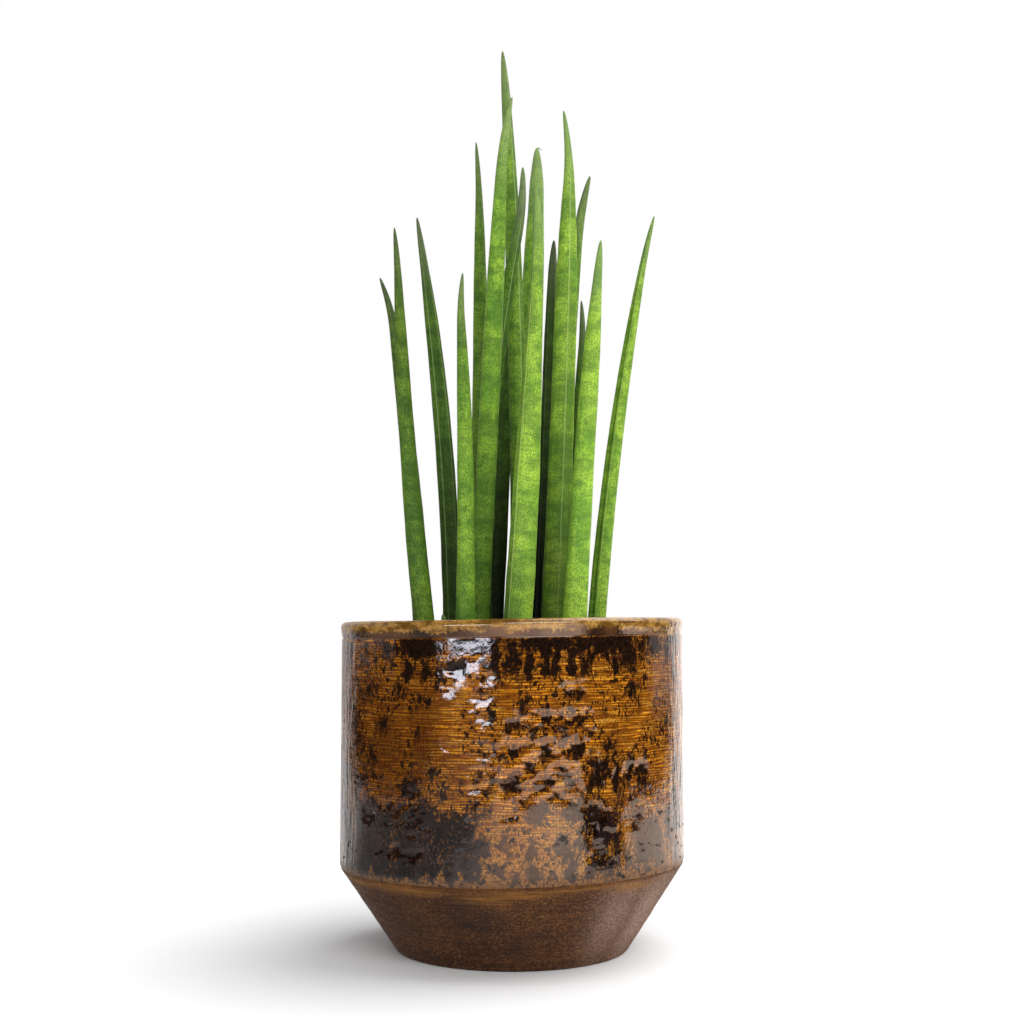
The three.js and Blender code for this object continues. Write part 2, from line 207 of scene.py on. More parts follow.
# Mottles of the glaze, the clay, the leaves and the soil: stretch across and up, low and high level, detail
MOTTLES = {
    "grit": (1250, 950, 0.40, 0.62, 2.0), "ragged": (620, 460, 0.25, 0.75, 4.0),
    "cloud": (70, 60, 0.35, 0.68, 4.0), "drift": (26, 260, 0.0, 1.0, 2.0),
    "comb_fade": (110, 520, 0.36, 0.64, 3.0), "thread": (60, 2000, 0.58, 0.68, 1.0),
    "weave": (1500, 130, 0.36, 0.64, 1.0), "amber_cloud": (80, 70, 0.35, 0.66, 4.0),
    "speck": (900, 700, 0.58, 0.64, 1.0), "dash": (400, 290, 0.58, 0.62, 1.0),
    "dash_area": (60, 50, 0.38, 0.52, 2.0), "bloom": (150, 120, 0.42, 0.60, 4.0),
    "freckle": (1250, 1000, 0.53, 0.62, 2.0), "patchy": (70, 85, 0.42, 0.58, 3.0),
    "hole": (240, 330, 0.62, 0.67, 3.0), "rim_wave": (110, 20, 0.3, 0.7, 3.0),
    "rim_cloud": (150, 400, 0.38, 0.62, 3.0), "streaks": (300, 62, 0.2, 0.8, 3.0),
    "creep": (70, 30, 0.35, 0.68, 4.0), "fold_ragged": (420, 500, 0.3, 0.7, 3.0),
    "fold_streak": (160, 1500, 0.35, 0.65, 2.0), "stroke": (30, 900, 0.40, 0.60, 3.0),
    "clay_grain": (900, 1000, 0.42, 0.58, 3.0), "patch": (150, 190, 0.38, 0.62, 4.0),
    "warm": (26, 60, 0.42, 0.64, 3.0), "pale_grain": (640, 900, 0.53, 0.68, 3.0),
    "flecks": (1050, 850, 0.40, 0.64, 3.0), "skin_grain": (1900, 1500, 0.45, 0.58, 2.0),
    "lumps": (420, 420, 0.35, 0.65, 4.0), "earth_grain": (2600, 2600, 0.3, 0.7, 2.0),
}

# Soil, in millimetres
SOIL_HEIGHT = 135.0
SOIL_MOUND = 3.0
SOIL_GAP = 0.6
SOIL_SIDES = 220
SOIL_RINGS = 90
EARTHS = {
    # dark and light tone, roughness
    "peat": ((0.012, 0.008, 0.005), (0.045, 0.028, 0.017), 0.92),
    "bark": ((0.040, 0.020, 0.010), (0.130, 0.068, 0.034), 0.85),
    "pumice": ((0.35, 0.33, 0.29), (0.62, 0.60, 0.55), 0.9),
}
STREWN = {
    # earth, how many on a square metre, size, flatness, spread of the size, seed
    "soil_crumbs": ("peat", 42000.0, 2.6, 0.8, 0.5, 3),
    "soil_bark": ("bark", 6500.0, 5.5, 0.3, 0.45, 8),
    "soil_pumice": ("pumice", 3000.0, 2.6, 0.8, 0.4, 15),
}

# Leaves, in millimetres: the entries of the solids, some a little wider in the skin. Where the foot meets
# the soil, point, bow, hook, widths from foot to point, way the channel faces, finish, how light it is
# (partly its own green, partly painted shade).
LEAVES = {
    "leaf_01": ((-44, 12), (-69.5, 24, 339.5), 2.5, -3.5, (10, 9.5, 8.5, 6.5, 3.5), -60, "mid", 0.50),
    "leaf_02": ((-40.5, -10), (-59, -14, 356), -2.5, -1, (10, 10, 8, 6, 3), 110, "mid", 0.57),
    "leaf_03": ((-29.5, 4), (-49.5, 14, 369), 4.5, 0, (9.5, 9.5, 9, 7, 3.5), -78, "deep", 0.92),
    "leaf_04": ((-23, -26), (-24, -34, 328), 2, 2, (10.5, 9, 8, 6, 3), 75, "mid", 0.95),
    "leaf_05": ((-20.5, 30), (-19.5, 42, 418.5), 2.5, -1, (9, 8.5, 8, 6.5, 3), 160, "mid", 0.86),
    "leaf_06": ((-17.5, -6), (0, -14, 423), -0.2, 3.5, (10, 10, 9.8, 7.6, 4.2), 120, "mid", 1.32),
    "leaf_07": ((-13.5, 10), (5.5, -4, 390), -8.8, -4.5, (8.5, 8, 7.2, 6.6, 4.2), -30, "deep", 1.32),
    "leaf_08": ((-11.5, 24), (-1, 34, 330), 1, 1, (11.4, 10.2, 9.2, 6.2, 2.8), 60, "deep", 1),
    "leaf_09": ((1, -33), (11.5, -42, 368), 1, -2, (14.5, 13.5, 11.5, 7, 4.5), -165, "young", 0.94),
    "leaf_10": ((3, 8), (-5, 14, 458), 3, -0.5, (9, 8.5, 8.8, 7.7, 4.6), -22, "mid", 1.05),
    "leaf_11": ((8, 32), (13.5, 40, 414.5), -2, -1, (12, 12, 12, 11, 7.5), 90, "mid", 1.40),
    "leaf_12": ((13, 12), (22, 20, 358.5), 1, 0.5, (9, 9, 8, 7, 4.5), -90, "deep", 0.62),
    "leaf_13": ((19.5, -8), (26, -14, 416), 1, -3.5, (13, 12.5, 11.5, 9.5, 3.5), -42, "young", 0.93),
    "leaf_14": ((26, 26), (42, 38, 398.5), -4.5, 3, (9, 8.5, 7.5, 6.5, 4.5), -150, "mid", 0.98),
    "leaf_15": ((29, -26), (43, -38, 343), -1, 0, (12.8, 11.2, 10, 8, 4), 60, "young", 1.0),
    "leaf_16": ((30, 8), (36, 16, 325.5), -1.5, -2, (7.5, 7, 6, 5, 3), 90, "deep", 0.9),
    "leaf_17": ((40.5, -2), (73.5, 8, 368), -4, 1, (9.3, 8.7, 7.5, 5.5, 3), -140, "young", 0.97),
    "leaf_18": ((-28, -13), (-34, -12, 162.5), 0, 0, (6.5, 6, 5.5, 4.5, 2.5), 0, "mid", 1),
}
# How light a leaf's foot is painted: painted shade in the middle of the tuft, painted light in front.
FOOT_PAINTED_SHADING = {
    "leaf_02": 1.36, "leaf_03": 0.6, "leaf_04": 1.28, "leaf_05": 0.5, "leaf_06": 0.6, "leaf_07": 0.35,
    "leaf_08": 0.12, "leaf_09": 1.08, "leaf_10": 0.4, "leaf_11": 0.4, "leaf_12": 0.10, "leaf_13": 0.6,
    "leaf_14": 0.5, "leaf_15": 1.26, "leaf_16": 0.5,
}
LEAF_DEPTH = 30.0
BODY_END = 0.93
GIRTH_STATIONS = (0.0, 0.25, 0.5, 0.75, BODY_END)
HOOK_START = 0.86
NOSE_POWER = 0.45
CHANNEL_DEPTH = 0.24
MARGIN_RISE = 0.06
MARGIN_ANGLE = 0.62
MARGIN_WIDTH = 0.085
LEAF_SIDES = 64
LEAF_STEP = 2.6
# The dry curl: its middle line from the leaf's point, and its widths
CURL_PATH = (
    (-1.1, 0, -3.0), (-0.5, 0, -1.4), (0.0, 0, -0.3), (0.7, 0, 0.1), (1.4, 0, -0.2), (2.0, 0, -0.9),
    (2.2, 0, -1.6),
)
CURL_WIDTHS = (1.1, 0.9, 0.7, 0.6, 0.5, 0.4, 0.25)
CURL_SIDES = 8
PALE_MARGIN = (0.46, 0.48, 0.30)
# Lengthwise lines, broad patches, bands and thin bands: stretch around, per leaf and along, levels, detail
LEAF_MOTTLES = (
    ((26, 1, 22), 0.36, 0.64, 2.0), ((1.6, 1, 55), 0.36, 0.64, 2.0),
    ((1.5, 1, 125), 0.46, 0.60, 6.0), ((2.2, 1, 360), 0.50, 0.62, 5.0),
)
LEAF_FINISH = {
    # light skin, dark skin, colour of the cross bands, colour of the old tip
    "young": ((0.450, 0.680, 0.068), (0.285, 0.500, 0.043), (0.060, 0.155, 0.022), (0.20, 0.30, 0.12)),
    "mid": ((0.278, 0.455, 0.040), (0.168, 0.322, 0.029), (0.030, 0.095, 0.012), (0.17, 0.21, 0.10)),
    "deep": ((0.135, 0.258, 0.024), (0.081, 0.170, 0.016), (0.017, 0.053, 0.006), (0.15, 0.17, 0.10)),
}


# Small helpers


def smooth(low, high, value):
    """Smooth step from 0 at low to 1 at high."""
    t = np.clip((value - low) / (high - low), 0.0, 1.0)
    return t * t * (3 - 2 * t)


def lattice_noise(x, y, columns, seed):
    """Smooth noise from 0 to 1 on unit cells. It repeats in x after so many columns."""
    y = y - y.min()
    rows = int(np.ceil(y.max())) + 3
    values = np.random.default_rng(seed).random((rows, columns))
    column = np.floor(x).astype(int)
    row = np.floor(y).astype(int)
    across = smooth(0, 1, x - column)
    up = smooth(0, 1, y - row)
    left, right = column % columns, (column + 1) % columns
    low = values[row, left] * (1 - across) + values[row, right] * across
    high = values[row + 1, left] * (1 - across) + values[row + 1, right] * across
    return low * (1 - up) + high * up


def layered_noise(turn, height, width, length, seed, layers=3):
    """Noise round the pot: cells so many mm wide and long, with finer layers on top. Turn is 0 to 1."""
    total = np.zeros_like(turn)
    weight = 0.0
    around = 2 * math.pi * RIM_RADIUS
    for layer in range(layers):
        share = 0.5 ** layer
        columns = max(3, round(around / (width * share)))
        total += share * lattice_noise(turn * columns, height / (length * share), columns, seed + layer)
        weight += share
    return total / weight


def tube_faces(rows, columns, far_end=True):
    """Quads of a grid that closes round its columns, facing out where the rows run up, and its ends."""
    faces = []
    for row in range(rows - 1):
        for column in range(columns):
            after = (column + 1) % columns
            faces.append((
                row * columns + column, row * columns + after,
                (row + 1) * columns + after, (row + 1) * columns + column,
            ))
    faces.append(tuple(reversed(range(columns))))
    if far_end:
        faces.append(tuple(range((rows - 1) * columns, rows * columns)))
    return faces


def new_object(name, data):
    """An object of the scene, at the origin."""
    thing = bpy.data.objects.new(name, data)
    bpy.context.scene.collection.objects.link(thing)
    return thing


def new_piece(name, points, faces, material, attributes):
    """A smooth mesh object at the origin, with named values on its points."""
    mesh = bpy.data.meshes.new(name)
    mesh.from_pydata([tuple(point) for point in points], [], faces)
    for key, values in attributes.items():
        layer = mesh.attributes.new(key, "FLOAT", "POINT")
        layer.data.foreach_set("value", np.asarray(values, dtype=np.float32))
    mesh.polygons.foreach_set("use_smooth", [True] * len(mesh.polygons))
    mesh.materials.append(material)
    mesh.update()
    return new_object(name, mesh)


# Camera, stage and light


def make_camera():
    """The photograph's view: straight from the front, looking a little up."""
    data = bpy.data.cameras.new("camera")
    data.sensor_width = SENSOR
    data.lens = FOCAL_LENGTH
    camera = new_object("camera", data)
    camera.location = (0, -CAMERA_DISTANCE, CAMERA_HEIGHT)
    camera.rotation_euler = (math.radians(90 + CAMERA_PITCH_UP), 0, 0)
    bpy.context.scene.camera = camera


def make_light(name, kind, place, target, power, **shape):
    """A light at its place, turned to the target. A sun's place only gives its side."""
    data = bpy.data.lights.new(name, kind)
    data.energy = power
    for key, value in shape.items():
        setattr(data, key, value)
    light = new_object(name, data)
    light.location = place
    light.rotation_euler = (Vector(target) - light.location).to_track_quat("-Z", "Y").to_euler()
    return light


def make_world():
    """A white room for the camera, and a dimmer one in the light and the reflections."""
    world = bpy.data.worlds.new("studio")
    bpy.context.scene.world = world
    world.use_nodes = True
    shader = Shader(world.node_tree)
    path = shader.node("ShaderNodeLightPath").outputs
    unseen = shader.between(path["Is Glossy Ray"], ROOM_LIGHT, ROOM_IN_GLOSS)
    background = world.node_tree.nodes["Background"].inputs
    shader.put(background["Color"], WHITE)
    shader.put(background["Strength"], shader.between(path["Is Camera Ray"], unseen, 1.0))


def plain_surface(name, colour, roughness, glow=0.0, tint=WHITE):
    """A matt surface of one colour that may glow in a tint."""
    material, shader = new_material(name)
    shader.surface({
        "Base Color": colour, "Roughness": roughness, "Specular IOR Level": 0.0,
        "Emission Color": tint, "Emission Strength": glow,
    })
    return material


def white_table():
    """White paper that glows a little more away from the pot, so that the shadow fades into white.

    In the gloss it is dimmer on the left and brighter on the right, as the table in the picture was.
    """
    material = plain_surface("white_table", PAPER, 0.95)
    shader = Shader(material.node_tree)
    place = shader.place()
    x, y, _ = shader.parts(place)
    away = shader.node("ShaderNodeVectorMath", {0: place}, operation="LENGTH").outputs["Value"]
    in_gloss = shader.node("ShaderNodeLightPath").outputs["Is Glossy Ray"]
    on_left = shader.span(x, -0.32, -0.02, 1.0, 0.0)
    dim = shader.times(on_left, shader.span(y, 0.05, 0.30, 1.0, 0.5), in_gloss)
    on_right = shader.span(x, -0.27, 0.12, 0.0, TABLE_IN_GLOSS)
    in_front = shader.span(y, -0.05, 0.35, 1.0, 0.3)
    bright = shader.times(on_right, in_front, shader.span(away, 0.14, 0.56, 0.12, 1.0), in_gloss)
    # The glow that the glaze shows is warm, more so far in front.
    warmth = shader.times(in_gloss, shader.span(y, 0.0, 0.4, 1.0, 0.3), shader.span(x, -0.30, 0.0, 0.2, 1.0))
    far = shader.times(shader.span(y, -0.46, -0.24, 1.0, 0.0), shader.span(x, 0.08, 0.24, 1.0, 0.0))
    warm = shader.blend(warmth, WHITE, shader.blend(far, WARM_NEAR, WARM_FAR))
    white = shader.math("SUBTRACT", PAPER[0], shader.times(dim, 0.58))
    faded = shader.times(shader.span(away, 0.10, 0.42, 0.0, 0.34), shader.math("SUBTRACT", 1.0, dim))
    shader.surface({
        "Base Color": shader.shade(warm, white), "Emission Color": warm,
        "Emission Strength": shader.plus(faded, bright),
    })
    return material


def make_sheet(name, corners, material, seen=True):
    """A flat stage surface through the given corners. An unseen one shows in the gloss only."""
    mesh = bpy.data.meshes.new(name)
    mesh.from_pydata(corners, [], [tuple(range(len(corners)))])
    mesh.materials.append(material)
    sheet = new_object(name, mesh)
    sheet.visible_camera = seen
    sheet.visible_shadow = seen
    sheet.visible_diffuse = seen


def make_studio():
    """The white table, the screens that the gloss shows, and the lights."""
    make_world()
    left, right = FLOOR_SIDES
    table = [(left, FLOOR_FRONT, 0), (right, FLOOR_FRONT, 0), (right, FLOOR_BACK, 0), (left, FLOOR_BACK, 0)]
    make_sheet("floor", table, white_table())
    for name, (glow, start, end, low, high) in SCREENS.items():
        corners = [(*start, low), (*end, low), (*end, high), (*start, high)]
        glowing = plain_surface(name, (0.0, 0.0, 0.0), 0.9, glow, SCREEN_TINT)
        make_sheet(name, corners, glowing, seen=False)
    card = plain_surface("dark_card", (0.01, 0.01, 0.01), 0.9)
    make_sheet("dark_card", [(*corner, 0.002) for corner in DARK_CARD], card, seen=False)
    make_light("key_light", "SUN", KEY_SIDE, (0, 0, 0), 2.56, angle=math.radians(62))
    for name, (place, target, power, width, height) in SOFTBOXES.items():
        light = make_light(name, "AREA", place, target, power, shape="RECTANGLE", size=width, size_y=height)
        light.visible_camera = False
    # The window is cool and shows in the gloss only.
    light.visible_diffuse = False
    light.data.color = WINDOW_COLOUR


# Shader helpers


class Shader:
    """Builds the nodes of one material, world or group, with short calls."""

    def __init__(self, tree):
        self.tree = tree

    def sockets(self, kind, **sides):
        """Sockets of a group, each on its side."""
        for name, side in sides.items():
            self.tree.interface.new_socket(name=name, in_out=side, socket_type="NodeSocket" + kind)

    def put(self, socket, value):
        """Sets a socket to a number, a colour or a colour's name, or links it to another node's output."""
        value = COLOURS[value] if isinstance(value, str) else value
        if isinstance(value, bpy.types.NodeSocket):
            self.tree.links.new(value, socket)
        elif isinstance(value, tuple) and len(value) == 3 and socket.type == "RGBA":
            socket.default_value = (*value, 1)
        else:
            socket.default_value = value

    def node(self, kind, inputs=None, **settings):
        """A new node with its settings, then its inputs by name or number."""
        node = self.tree.nodes.new(kind)
        for key, value in settings.items():
            setattr(node, key, value)
        for key, value in (inputs or {}).items():
            self.put(node.inputs[key], value)
        return node

    def surface(self, inputs):
        """Sets the inputs of the material's own shader."""
        for key, value in inputs.items():
            self.put(self.tree.nodes["Principled BSDF"].inputs[key], value)

    def math(self, operation, a, b=0.0):
        return self.node("ShaderNodeMath", {0: a, 1: b}, operation=operation).outputs[0]

    def times(self, *values):
        return reduce(lambda a, b: self.math("MULTIPLY", a, b), values)

    def plus(self, *values):
        return reduce(lambda a, b: self.math("ADD", a, b), values)

    def between(self, factor, a, b):
        """A number that runs from a to b."""
        inputs = {"Factor": factor, "A": a, "B": b}
        return self.node("ShaderNodeMix", inputs, data_type="FLOAT").outputs["Result"]

    def blend(self, factor, a, b, mode="MIX"):
        """A colour that runs from a to b."""
        inputs = {"Factor": factor, 6: a, 7: b}
        return self.node("ShaderNodeMix", inputs, data_type="RGBA", blend_type=mode).outputs[2]

    def coats(self, colour, *layers):
        """A colour under others, each laid over the last through a mask, at so much strength."""
        for mask, strength, top in layers:
            colour = self.blend(self.times(mask, strength), colour, top)
        return colour

    def shade(self, colour, light):
        """A colour made lighter or darker by a number."""
        return self.blend(1.0, colour, self.join(light, light, light), "MULTIPLY")

    def span(self, value, low, high, to_low=0.0, to_high=1.0):
        """Smooth step of a value, from to_low at low to to_high at high."""
        inputs = {"Value": value, "From Min": low, "From Max": high, "To Min": to_low, "To Max": to_high}
        return self.node("ShaderNodeMapRange", inputs, interpolation_type="SMOOTHSTEP").outputs["Result"]

    def attribute(self, name):
        return self.node("ShaderNodeAttribute", attribute_name=name).outputs["Fac"]

    def place(self):
        return self.node("ShaderNodeTexCoord").outputs["Object"]

    def parts(self, vector):
        return tuple(self.node("ShaderNodeSeparateXYZ", {0: vector}).outputs)

    def join(self, x, y, z):
        return self.node("ShaderNodeCombineXYZ", {0: x, 1: y, 2: z}).outputs[0]

    def mottles(self, *names):
        """The named mottles, on the object's own place."""
        place = self.place()
        rows = map(MOTTLES.get, names)
        return [self.mottle(place, (across, across, up), *rest) for across, up, *rest in rows]

    def mottle(self, vector, stretch, low, high, detail):
        """The shared mottle group: stretched noise, between two levels."""
        inputs = {"Vector": vector, "Stretch": stretch, "Low": low, "High": high, "Detail": detail}
        return self.node("ShaderNodeGroup", inputs, node_tree=mottle_group()).outputs["Mask"]

    def bump(self, height, distance, strength, **normal):
        inputs = {"Height": height, "Distance": distance, "Strength": strength, **normal}
        return self.node("ShaderNodeBump", inputs).outputs["Normal"]


def mottle_group():
    """Noise with its own stretch along each axis, cut between two levels to a mask."""
    if "mottle" in bpy.data.node_groups:
        return bpy.data.node_groups["mottle"]
    tree = bpy.data.node_groups.new("mottle", "ShaderNodeTree")
    shader = Shader(tree)
    shader.sockets("Vector", Vector="INPUT", Stretch="INPUT")
    shader.sockets("Float", Low="INPUT", High="INPUT", Detail="INPUT", Mask="OUTPUT")
    given = shader.node("NodeGroupInput").outputs
    stretched = {0: given["Vector"], 1: given["Stretch"]}
    stretched = shader.node("ShaderNodeVectorMath", stretched, operation="MULTIPLY").outputs[0]
    noise = {"Scale": 1.0, "Vector": stretched, "Detail": given["Detail"]}
    noise = shader.node("ShaderNodeTexNoise", noise).outputs["Fac"]
    shader.node("NodeGroupOutput", {"Mask": shader.span(noise, given["Low"], given["High"])})
    return tree


def new_material(name):
    """A material, and the builder of its nodes."""
    material = bpy.data.materials.new(name)
    material.use_nodes = True
    return material, Shader(material.node_tree)


# Pot


def pot_profile():
    """Rows of (radius, height) from the middle of the foot round to the middle of the inside."""
    rows = [(FOOT_RADIUS * share, 0.0) for share in (0.0001, 0.35, 0.7, 0.93)]
    rows += [(FOOT_RADIUS - 1.2, 0.0), (FOOT_RADIUS - 0.3, 0.25), (FOOT_RADIUS + 0.5, 0.95)]
    slope = (FOLD_RADIUS - FOOT_RADIUS) / FOLD_HEIGHT
    for height in np.arange(1.9, FOLD_HEIGHT - 0.9, 1.3):
        rows.append((FOOT_RADIUS + slope * height, height))
    rows += [(FOLD_RADIUS - 0.75, FOLD_HEIGHT - 0.5), (FOLD_RADIUS - 0.46, FOLD_HEIGHT + 0.1)]
    for height in np.arange(FOLD_HEIGHT + 0.8, NECK_HEIGHT, 0.76):
        share = (height - FOLD_HEIGHT) / (NECK_HEIGHT - FOLD_HEIGHT)
        rounded = FOLD_ROUNDING * max(0, 1 - (height - FOLD_HEIGHT) / 4.5) ** 2
        rows.append((FOLD_RADIUS + (NECK_RADIUS - FOLD_RADIUS) * share - rounded, height))
    lip_low = POT_HEIGHT - LIP
    rows += [(NECK_RADIUS, NECK_HEIGHT), (NECK_RADIUS - 0.3, NECK_HEIGHT + 0.3)]
    groove = NECK_RADIUS - NECK_DEPTH
    for height in np.arange(NECK_HEIGHT + 0.6, lip_low, 0.5):
        share = (height - NECK_HEIGHT) / (lip_low - NECK_HEIGHT)
        rows.append((groove + (RIM_RADIUS - groove) * float(smooth(-0.2, 1.1, share)), height))
    for angle in np.radians(np.arange(0, 181, 15)):
        rows.append((RIM_RADIUS - LIP + LIP * math.cos(angle), lip_low + LIP * math.sin(angle)))
    inner_rim = RIM_RADIUS - 2 * LIP
    for share in np.linspace(0.04, 1, 14):
        height = lip_low + (FOLD_HEIGHT + WALL / 2 - lip_low) * share
        rows.append((inner_rim + (INNER_FOLD - inner_rim) * share, height))
    rows += [(FOOT_RADIUS - WALL / 2, FLOOR), (0.01, FLOOR)]
    return np.array(rows)


def random_pools():
    """Pools of dark glaze out of sight of the front, in rows like those in front."""
    draw = np.random.default_rng(POOL_SEED)
    pools = []
    for height, spacing, half_width, half_length, strength in POOL_ROWS:
        turn = FRONT_REACH
        while turn < 360 - FRONT_REACH:
            size = draw.uniform(0.65, 1.35)
            pools.append((
                turn, height + draw.normal(0, 1.6), half_width * size, half_length * draw.uniform(0.7, 1.3),
                strength * draw.uniform(0.55, 1.15),
            ))
            turn += spacing * draw.uniform(0.7, 1.4)
    return pools


def dents():
    """Dents pressed into the wall in loose rows: turn, height, half width, half length, depth."""
    draw = np.random.default_rng(DENT_SEED)
    places = list(FRONT_DENTS)
    for row, height in enumerate(DENT_ROWS):
        for turn in np.arange(92, 268, DENT_SPACING):
            places.append((
                turn + draw.normal(0, 1.5) + DENT_SPACING / 2 * (row % 2), height + draw.normal(0, 1.2),
                draw.uniform(2.0, 4.6), draw.uniform(2.0, 3.4), draw.uniform(0.0, 1.0),
            ))
    return places


def aside(turn, place_turn, half_width):
    """How far round the wall a point lies from a place, in half widths. Turns are in degrees."""
    return ((turn - place_turn + 180) % 360 - 180) * DEGREE / half_width


def dent_depth(turn, height):
    """How deep the dents are: steep under their upper edge, and running out slowly below."""
    total = np.zeros_like(turn)
    for place_turn, place_height, half_width, half_length, depth in dents():
        across = aside(turn, place_turn, half_width)
        up = (height - place_height) / (half_length * 1.2)
        near = (np.abs(across) < 1.6) & (up < 1.2) & (up > -2.2)
        steep = 1 - smooth(0.0, 1.0, up[near])
        run_out = 1 - smooth(0.0, 2.0, -up[near])
        dent = depth * steep * run_out * np.exp(-np.abs(across[near]) ** 4)
        total[near] = np.maximum(total[near], dent)
    return total


def spots(turn, height, places, power):
    """The strongest of many soft spots at each point. Turn is in degrees from the front."""
    total = np.zeros_like(turn)
    for place_turn, place_height, half_width, half_length, strength in places:
        across = aside(turn, place_turn, half_width)
        along = (height - place_height) / half_length
        near = (np.abs(across) < 2.2) & (np.abs(along) < 2.2)
        spot = strength * np.exp(-np.abs(across[near]) ** power - np.abs(along[near]) ** power)
        total[near] = np.maximum(total[near], spot)
    return total


def make_pot(glaze, clay):
    """The pot's skin: the solid's form with the relief of the glaze and the clay, and where each lies."""
    profile = pot_profile()
    rows = len(profile)
    # The noise's own seam, turn 0, is at the back.
    turn = np.tile(np.arange(POT_SIDES) / POT_SIDES, (rows, 1))
    angle = turn * 2 * math.pi + math.pi / 2
    from_front = turn * 360 - 180
    radius = np.repeat(profile[:, :1], POT_SIDES, axis=1)
    height = np.repeat(profile[:, 1:], POT_SIDES, axis=1)
    rim_row = int(np.argmax(profile[:, 1]))
    outside = np.repeat((np.arange(rows) <= rim_row)[:, None], POT_SIDES, axis=1)

    def noise(width, length, seed, layers=2, at=height):
        return layered_noise(turn, at, width, length, seed, layers) - 0.5

    # The glaze runs, so the outlines of its pools wander and break up.
    run_across = noise(4.2, 6.0, 131, 3) * 6.0
    run_down = noise(4.0, 5.0, 149, 3) * 5.5
    warped_turn = from_front + run_across / DEGREE
    thick = spots(warped_turn, height + run_down, (*FRONT_POOLS, *random_pools()), 3.0)
    thick = np.clip(thick + 1.1 * noise(4.6, 7.0, 163, 3) * (thick > 0.02), 0, 1)
    glazed = smooth(FOLD_HEIGHT - 1, FOLD_HEIGHT + 2.5, height) * (1 - smooth(150.8, 151.8, height)) * outside

    torn = noise(3.4, 3.0, 191) * 6.0
    dent_turn = from_front + 0.7 * run_across + 0.5 * torn
    dent_height = height + 0.8 * run_down + 0.9 * torn
    pressed = dent_depth(dent_turn, dent_height)
    # Glaze gathers in the dents, below their upper edge, and ends in teeth above the fold.
    gathered = dent_depth(dent_turn, dent_height + 1.6)
    thick = np.maximum(thick, 0.80 * gathered * smooth(0.2, 0.9, gathered))
    teeth = np.maximum(0, noise(4.6, 10.0, 173, 2, height * 0) + 0.04) * 16
    thick = thick * smooth(-0.6, 1.0, height - TEETH_HEIGHT - teeth)

    flutes = noise(5.0, 30.0, 47)
    swells = noise(20.0, 15.0, 59)
    threads = noise(2.8, 16.0, 211, 1) * (0.06 + 0.16 * smooth(52, 72, np.abs(from_front)))
    pits = noise(3.0, 3.0, 71)
    turning = noise(120.0, 2.6, 83, 1)
    offset = glazed * (0.24 * flutes + threads + 0.08 * swells + 0.07 * pits - 0.43 * pressed)
    cone = smooth(2, 6, height) * (1 - smooth(FOLD_HEIGHT - 3, FOLD_HEIGHT - 0.5, height)) * outside
    offset = offset + cone * (0.20 * turning + 0.30 * swells)
    lip_wave = noise(60.0, 10.0, 97, 2, height * 0) * smooth(150, 158, height)

    radius = radius + offset
    x = radius * np.cos(angle)
    y = radius * np.sin(angle)
    lean = HAND_MADE_LEAN * np.minimum(height / FOLD_HEIGHT, 1) * x
    z = height + lean + 0.5 * lip_wave
    points = np.stack([x, y, z], axis=-1).reshape(-1, 3) * MM
    faces = tube_faces(rows, POT_SIDES)
    # The last mark is a painted sheen of reflected light on the clay's right side and left edge.
    marks = {
        "dull": (height + run_down, DULL_PARTS), "stain": (height + run_down, CLAY_STAINS),
        "smear": (height + 0.5 * run_down, OCHRE_SMEARS), "dry": (height, CLAY_PAINTED_SHEEN),
    }
    values = {
        name: np.clip(spots(warped_turn, at, places, 2.0), 0, 1).ravel()
        for name, (at, places) in marks.items()
    }
    pot = new_piece("pot_glazed", points, faces, glaze, {
        "thick": (thick * glazed).ravel(), **values,
        "level": height.ravel(), "inside": 1.0 - outside.ravel().astype(float),
    })
    pot.data.materials.append(clay)
    # The rows of the cone and the face under the foot are bare.
    bare_rows = int(np.sum(profile[:rim_row, 1] < FOLD_HEIGHT + 0.2)) - 1
    bare = np.zeros(len(faces), dtype=np.int32)
    bare[:bare_rows * POT_SIDES] = 1
    bare[-2] = 1
    pot.data.polygons.foreach_set("material_index", bare)
    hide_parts("pot")
    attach(pot, "root")


def ochre_edge(shader, level):
    """The thin ochre glaze that creeps over the fold: its colour, and a mask by height."""
    creep, ragged, streak = shader.mottles("creep", "fold_ragged", "fold_streak")
    edge = shader.plus(level, shader.plus(shader.times(creep, 5.0), shader.times(ragged, 2.2)))
    mask = shader.span(edge, FOLD_HEIGHT + 0.4, FOLD_HEIGHT + 3.4)
    return shader.blend(streak, "fold_dark", "fold_light"), mask


def comb_lines(shader):
    """Straight fine lines the comb left round the wall, that waver a little and fade in and out."""
    drift, fade = shader.mottles("drift", "comb_fade")
    z = shader.parts(shader.place())[2]
    phase = shader.plus(shader.times(z, 2 * math.pi / COMB_SPACING), shader.times(drift, 14.0))
    line = shader.span(shader.math("SINE", phase), -0.4, 1.0)
    return shader.times(line, shader.span(z, 45 * MM, 78 * MM, 0.2, 1.0), fade)


def amber_coat(shader, grit, level):
    """The glaze where it lies thin: combed amber, rubbed low down, duller and woven at the sides."""
    comb = comb_lines(shader)
    cloud, thread, weave = shader.mottles("amber_cloud", "thread", "weave")
    amber = shader.coats(
        shader.blend(comb, "amber", "comb"),
        (cloud, 0.34, "amber_cloud"), (thread, 0.50, "thread"), (weave, 0.22, "weave"), (grit, 0.40, "grit"),
    )
    rubbed = shader.blend(grit, "rubbed", "rubbed_grit")
    amber = shader.blend(shader.span(level, 50.0, 84.0, 0.70, 0.0), amber, rubbed)
    dull = shader.coats(shader.blend(weave, "dull_dark", "dull"), (comb, 0.42, "dull_comb"))
    return shader.coats(amber, (shader.attribute("dull"), 0.88, dull))


